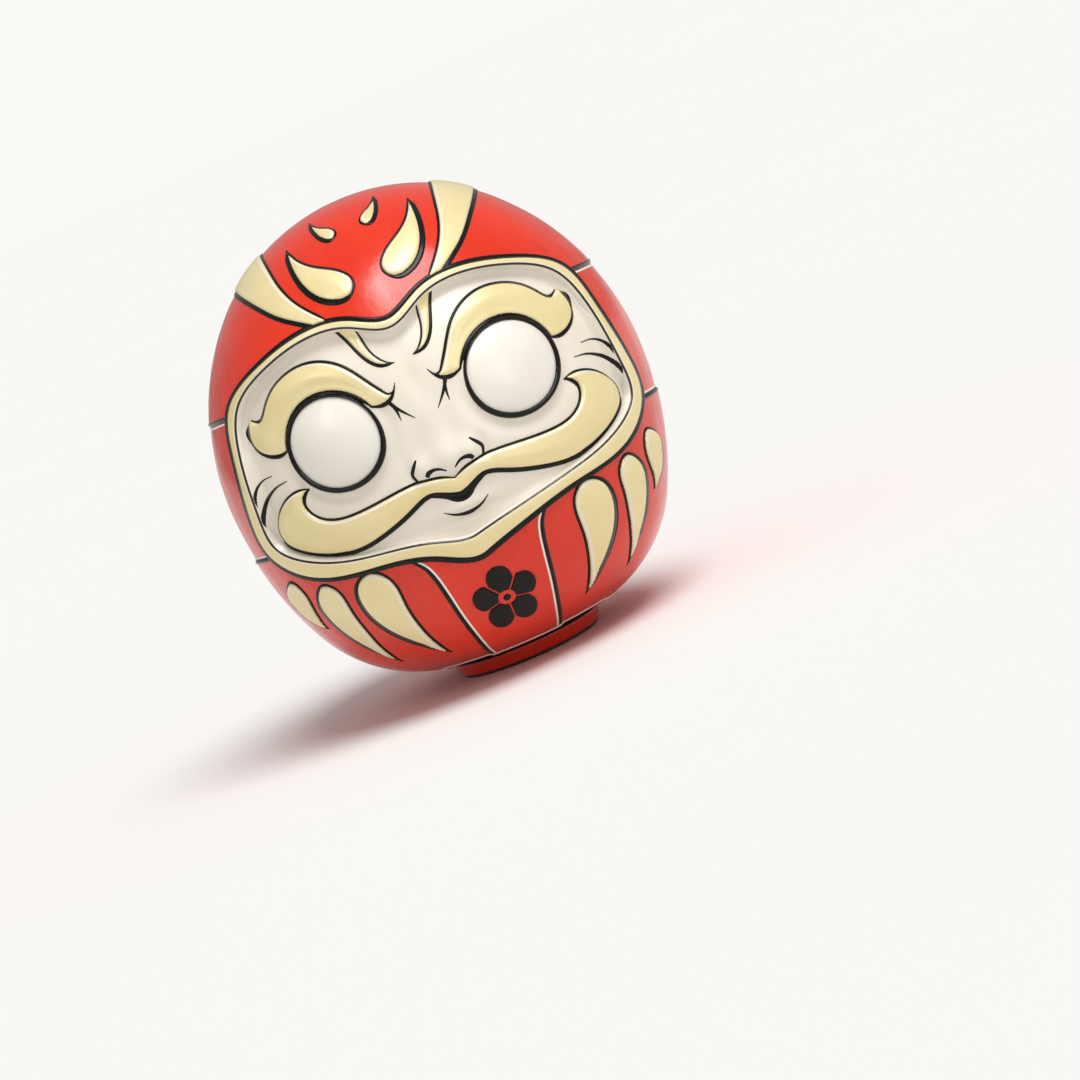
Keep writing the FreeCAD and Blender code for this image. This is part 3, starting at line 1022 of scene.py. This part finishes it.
rim_marks = {
    "dark_line": rim_dark_line,
    "highlight_line": rim_highlight_line,
    "highlight_width": rim_highlight_width,
    "inner_line": from_lip,
}
rim = slab(
    "gilded_rim", FRONT, rim_field, span(rim_edge, 3), 0.34, flat_robe,
    pillow(0.6, 1.0, 0.1, 1.8), 3.3, rim_gold, rim_marks,
)
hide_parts("face_rim")


def rim_outline(p):
    gap, away = rim_edge.gap(p)
    # Painted shadow: the outer line is thicker at the sides and below, where the drawn shadows fall.
    width = 0.5 + 0.2 * smooth(0.2, 1.0, np.abs(away[:, 0])) + 0.25 * smooth(0, 1, -away[:, 1])
    width = width * (1 + 1.4 * turned_away(FRONT, p, away))
    return stroke_field(gap, width, OUTLINE_OVERLAP)


slab(
    "rim_outer_line", FRONT, rim_outline, span(rim_edge, 3), 0.28, flat_robe,
    pillow(0.26, 0.35), 0.9, black,
)


EYE_DEPTH = 0.4


def eye_rise(f):
    return 1.7 * (1 - np.clip(1 - f / 10.2, 0, 1) ** 2) + 0.1


def make_eye(name):
    """A blank dome and the black bead round it, which is thinner above than below."""
    outer_loop, inner_loop = base_loops(name + "_ring")[:2]
    chart = Chart(outer_loop.mean(0))
    outer = Outline(chart.flat(outer_loop), 0.4)
    inner = Outline(chart.flat(inner_loop), 0.4)
    reach = span(outer, 2)
    bead = pillow(0.85, 0.55)

    def dome_field(p):
        return inner.inside(p) + 0.2

    def ring_field(p):
        thinner = 0.6 * (1 - smooth(-6, 8, -p[:, 1]))
        return np.minimum(outer.inside(p) - thinner, 0.15 - inner.inside(p))

    dome = slab(
        name + "_dome", chart, dome_field, reach, 0.5, face_ground, eye_rise, EYE_DEPTH, eye_white
    )
    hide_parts(name)
    ring = slab(
        name + "_ring_bead", chart, ring_field, reach, 0.26, face_ground, bead, EYE_DEPTH, black
    )
    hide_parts(name + "_ring")


for side, _ in SIDES:
    make_eye(side + "eye")

PAIRED_RELIEFS = (  # name, ground, height, edge, crown, step, the outline's thin and thick (the thick side is painted shadow)
    ("brow", face_ground, 0.85, 1.2, 0.3, 0.36, 0.6, 0.85),
    ("forelock", face_ground, 0.85, 0.9, 0.1, 0.3, 0.35, 0.55),
    ("crown_band", robe_ground, 0.65, 0.9, 0.1, 0.36, 0.5, 0.9),
    ("crown_flame", robe_ground, 0.75, 1.0, 0.3, 0.34, 0.4, 1.1),
    ("crown_spark", robe_ground, 0.6, 0.8, 0.15, 0.3, 0.35, 0.7),
    ("inner_belly_flame", robe_ground, 0.75, 1.0, 0.3, 0.34, 0.45, 1.1),
    ("middle_belly_flame", robe_ground, 0.75, 1.0, 0.25, 0.34, 0.45, 1.1),
    ("outer_belly_flame", robe_ground, 0.7, 0.9, 0.2, 0.34, 0.45, 1.0),
)
for side, _ in SIDES:
    for name, *rest in PAIRED_RELIEFS:
        relief(side + name, *rest)
relief("moustache", face_ground, 0.95, 1.3, 0.4, 0.36, 0.5, 1.0, clear_of_rim=True)

# ---- lines on the face: rows of x, z and width in the front view
PAIRED_LINES = {
    "nostril": [(1.0, 51.0, 0.3), (2.2, 51.9, 0.6), (3.6, 52.3, 0.8), (5.0, 52.0, 1.15), (5.5, 51.3, 0.9)],
    "nose_wing": [(6.4, 55.8, 0.4), (7.6, 54.3, 0.8), (8.4, 52.9, 0.75), (8.0, 51.4, 0.6), (7.4, 50.3, 0.5)],
    "frown_long": [(7.0, 70.2, 1.0), (5.9, 68.2, 0.8), (4.4, 66.3, 0.5), (2.7, 64.4, 0.15)],
    "frown_short": [(6.3, 69.0, 0.7), (5.9, 67.0, 0.55), (5.8, 65.0, 0.15)],
    "upper_cheek_line": [
        (37.8, 63.7, 0.2), (40.2, 63.3, 0.35), (42.2, 62.1, 0.65), (43.6, 60.2, 0.95), (44.7, 57.6, 1.1),
    ],
    "lower_cheek_line": [
        (35.0, 61.6, 0.2), (38.0, 60.9, 0.45), (40.8, 59.1, 0.8),
        (42.7, 56.9, 1.1), (44.0, 54.6, 1.25), (45.0, 51.9, 1.3),
    ],
}
UPPER_LIP = [(0, 44.1, 1.7), (1.6, 44.4, 1.5), (3.6, 45.6, 0.9), (6.5, 46.7, 0.25)]
LOWER_LIP = [(0, 40.4, 0.95), (3.0, 41.0, 0.6), (5.4, 42.5, 0.15)]

for side, turn in SIDES:
    for name, rows in PAIRED_LINES.items():
        brush(side + name, face_ground, turn(rows), black)
brush("upper_lip_line", face_ground, both_halves(UPPER_LIP), black)
brush("lower_lip_line", face_ground, both_halves(LOWER_LIP), black)

# ---- lines on the robe
PANEL = [
    (16.4, 35.2), (14.3, 32.6), (13.1, 29.3), (12.2, 24.3),
    (11.4, 18.9), (10.4, 13.6), (9.3, 8.4), (8.6, 5.9),
]
panel_line = [(x, z, 1.0) for x, z in PANEL]
# Painted highlight: an ivory line beside each panel line, on the panel's side.
panel_highlight = [(x - 0.8, z - 0.1, 0.5) for x, z in PANEL]
for side, turn in SIDES:
    brush(side + "panel_line", robe_ground, turn(panel_line), black)
    brush(side + "panel_highlight", robe_ground, turn(panel_highlight), ivory_highlight_paint, 0.2)


def round_line(name, start, heights, shift, width, material):
    """A line from one side of the rim, at azimuth start, round the back to the other."""
    degrees = np.linspace(start, 360 - start, 420)
    along = np.minimum(degrees, 360 - degrees)
    z = np.interp(along, LINE_AZIMUTHS, heights) + shift
    round_body(name, np.radians(degrees), z, width, material)


round_line("upper_robe_line", 59.0, UPPER_LINE, 0.0, 1.05, black)
# Painted highlights: ivory lines beside the robe's side lines, below the upper one and above the lower one.
round_line("upper_robe_highlight", 59.0, UPPER_LINE, -0.85, 0.5, ivory_highlight_paint)
round_line("lower_robe_line", 64.0, LOWER_LINE, 0.0, 1.0, black)
round_line("lower_robe_highlight", 64.0, LOWER_LINE, 0.8, 0.45, ivory_highlight_paint)

# ---- the emblem
FIFTH = 2 * math.pi / 5
PARTING = 0.16  # half of the gap between two petals
HEART_RADIUS, HEART_GAP = 0.85, 1.9  # the blossom's heart, and where its petals start

emblem_loop = base_loops("belly_emblem")[0]
emblem_chart = Chart(emblem_loop.mean(0))
petals = Outline(emblem_chart.flat(emblem_loop), 0.25)
petals_middle = sum(span(petals, 0)) / 2


def emblem_field(p):
    """Five petals, parted by fine gaps, round a small heart."""
    q = p - petals_middle
    r = np.hypot(q[:, 0], q[:, 1])
    turn = np.arctan2(q[:, 1], q[:, 0]) - math.pi / 2
    off = np.abs((turn + FIFTH / 2) % FIFTH - FIFTH / 2)
    parting = np.minimum(r * np.sin(FIFTH / 2 - off) - PARTING, r - HEART_GAP)
    return np.maximum(np.minimum(petals.inside(p), parting), HEART_RADIUS - r)


emblem = slab(
    "plum_blossom", emblem_chart, emblem_field, span(petals, 1), 0.2, robe_ground,
    pillow(0.4, 0.4), 0.25, black,
)
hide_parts("belly_emblem")


# ---- the foot, its paper, and the lines round them
SEGMENTS = 144


def turned(name, profile, material, wobble=0.0):
    """A closed piece of revolution about Z from rows of radius and height."""
    turn = np.linspace(0, 2 * math.pi, SEGMENTS, endpoint=False)
    uneven = 1 + wobble * (np.sin(3 * turn + 0.7) + 0.6 * np.sin(7 * turn + 2.0))
    rows = []
    for r, z in profile:
        radius = r * uneven
        x, y = radius * np.sin(turn), -radius * np.cos(turn)
        rows.append(np.column_stack([x, y, np.full(SEGMENTS, z)]))
    faces = []
    for k in range(len(profile)):
        here, there = k * SEGMENTS, (k + 1) % len(profile) * SEGMENTS
        for j in range(SEGMENTS):
            m = (j + 1) % SEGMENTS
            faces.append((here + j, here + m, there + m, there + j))
    return make_object(name, np.vstack(rows), faces, material, sharp=35)


foot_low, foot_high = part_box("foot")
foot_r, foot_z0, foot_z1 = foot_high.x / MM, foot_low.z / MM, foot_high.z / MM
_, paper_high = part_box("bottom_paper")
paper_r, paper_z = paper_high.x / MM, paper_high.z / MM

# The foot's outside: how far in from its edge, and how far above its bottom or below its top.
ABOVE_BOTTOM = ((1.6, 0), (1.15, 0.08), (0.85, 0.32), (0.7, 0.8), (0.35, 1.9), (0.12, 2.7))
BELOW_TOP = ((0.06, 0.35), (0.18, 0.1), (0.5, 0), (1.4, 0.05))
foot_profile = [(12.0, foot_z0)]
foot_profile += [(foot_r - inset, foot_z0 + rise) for inset, rise in ABOVE_BOTTOM]
foot_profile += [(foot_r - inset, foot_z1 - drop) for inset, drop in BELOW_TOP]
foot_profile += [(15.0, foot_z1 - 0.35), (12.0, foot_z1 - 0.4)]
foot = turned("turned_foot", foot_profile, foot_wood)
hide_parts("foot")

paper_profile = [
    (0.02, 0.0), (paper_r * 0.5, 0.0), (paper_r - 0.4, 0.0), (paper_r - 0.1, 0.1),
    (paper_r - 0.02, 0.3), (paper_r - 0.1, paper_z - 0.08), (paper_r - 0.5, paper_z), (0.02, paper_z),
]
base_paper = turned("pasted_paper", paper_profile, dark_paper, wobble=-0.0018)
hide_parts("bottom_paper")

joint_profile = [
    (17.6, 3.7), (foot_r - 0.35, 3.55), (foot_r + 0.35, 3.75), (foot_r + 0.75, 4.15),
    (foot_r + 0.55, 4.5), (18.0, 4.2),
]
turned("foot_joint_line", joint_profile, black)

HEM_Z = 5.05
hem = np.radians(np.linspace(-179.9, 179.9, 360))
# Painted highlight: an ivory line round the hem.
round_body("hem_highlight", hem, np.full(len(hem), HEM_Z), 0.5, ivory_highlight_paint, 0.2)

# ---- CAD pieces that stay: inside, out of sight
for name, material in (("seam_strip", raw_paper), ("base_weight", clay)):
    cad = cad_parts[name]
    cad.data.materials.clear()
    cad.data.materials.append(material)

# ---- floor and light, in metres
FLOOR_TONE = (0.94, 0.932, 0.915)
BACKGROUND = (0.956, 0.947, 0.927)
FLOOR_RINGS, FLOOR_SEGMENTS = (0.5, 2.0, 8.0, 30.0), 96


def floor():
    """A pale floor, wide enough that its far edge is the horizon."""
    points = [(0.0, 0.0, 0.0)]
    for r in FLOOR_RINGS:
        for k in range(FLOOR_SEGMENTS):
            angle = 2 * math.pi * k / FLOOR_SEGMENTS
            points.append((r * math.cos(angle), r * math.sin(angle), 0.0))
    faces = [(0, 1 + k, 1 + (k + 1) % FLOOR_SEGMENTS) for k in range(FLOOR_SEGMENTS)]
    for ring in range(len(FLOOR_RINGS) - 1):
        a = 1 + ring * FLOOR_SEGMENTS
        b = a + FLOOR_SEGMENTS
        for k in range(FLOOR_SEGMENTS):
            n = (k + 1) % FLOOR_SEGMENTS
            faces.append((a + k, b + k, b + n, a + n))
    mesh = bpy.data.meshes.new("pale_floor")
    mesh.from_pydata(points, [], faces)
    material, tree, bsdf = shader("pale_floor")
    tone = mix(tree, noise(tree, 3, 3), FLOOR_TONE, [0.99 * c for c in FLOOR_TONE])
    dress(tree, bsdf, Base_Color=tone, Roughness=0.9, Specular_IOR_Level=0.0)
    mesh.materials.append(material)
    piece = add_object("pale_floor", mesh)
    return piece


def lamp(kind, name, position, target, power, **settings):
    light = bpy.data.lights.new(name, kind)
    light.energy = power
    for key, value in settings.items():
        setattr(light, key, value)
    holder = add_object(name, light)
    holder.location = position
    aim = Vector(target) - Vector(position)
    holder.rotation_euler = aim.to_track_quat("-Z", "Y").to_euler()
    return holder


def softbox(name, position, power, size, size_y):
    return lamp("AREA", name, position, middle, power, shape="RECTANGLE", size=size, size_y=size_y)


ground = floor()
middle = (0, 0, (cad_box[0][2] + cad_box[1][2]) / 2)
lamp("SUN", "skylight", (0.5, -0.5, 1.55), middle, 2.2, angle=math.radians(35))
boxes = (
    softbox("left_softbox", (-0.75, -0.55, 0.75), 1.5, 0.28, 0.50),
    softbox("right_softbox", (0.80, -1.0, 0.30), 1.5, 0.35, 0.55),
    softbox("top_softbox", (0.03, -0.42, 0.95), 1.3, 0.16, 0.42),
)
# The softboxes only make the doll's highlights, and leave the floor even.
unlit = bpy.data.collections.new("unlit_by_softboxes")
unlit.objects.link(ground)
unlit.collection_objects[0].light_linking.link_state = "EXCLUDE"
for box in boxes:
    box.light_linking.receiver_collection = unlit

world = bpy.data.worlds.new("studio")
scene.world = world
world.use_nodes = True
tree = world.node_tree
seen = node(tree, "Background", {"Color": (*BACKGROUND, 1), "Strength": 1.0})
glow = tree.nodes["Background"]
dress(tree, glow, Color=(1.0, 0.995, 0.985, 1), Strength=0.38)
by_camera = node(tree, "LightPath").outputs["Is Camera Ray"]
switch = node(tree, "MixShader", {0: by_camera, 1: glow.outputs[0], 2: seen.outputs[0]})
tree.links.new(switch.outputs[0], tree.nodes["World Output"].inputs["Surface"])
scene.view_settings.view_transform = "Standard"

# ---- the camera, in metres
ELEVATION, ROLL = math.radians(7.0), math.radians(23.4)
FRAME_SPAN = 0.2512  # across the frame at the doll
LENS, SENSOR = 135.0, 36.0  # millimetres
OFF_RIGHT, OFF_UP = -7 / 72 * FRAME_SPAN, 23 / 216 * FRAME_SPAN  # the doll's place in the frame

camera = bpy.data.cameras.new("camera")
camera.lens, camera.sensor_width = LENS, SENSOR
camera.clip_start, camera.clip_end = 0.05, 50
holder = add_object("camera", camera)
scene.camera = holder
towards_camera = Vector((0, -math.cos(ELEVATION), math.sin(ELEVATION)))
level_up = Vector((0, math.sin(ELEVATION), math.cos(ELEVATION)))
level_right = Vector((1, 0, 0))
up = level_up * math.cos(ROLL) + level_right * math.sin(ROLL)
right = level_right * math.cos(ROLL) - level_up * math.sin(ROLL)
target = Vector(middle) - right * OFF_RIGHT - up * OFF_UP
holder.location = target + towards_camera * (FRAME_SPAN * LENS / SENSOR)
holder.rotation_euler = Matrix((right, up, towards_camera)).transposed().to_euler()
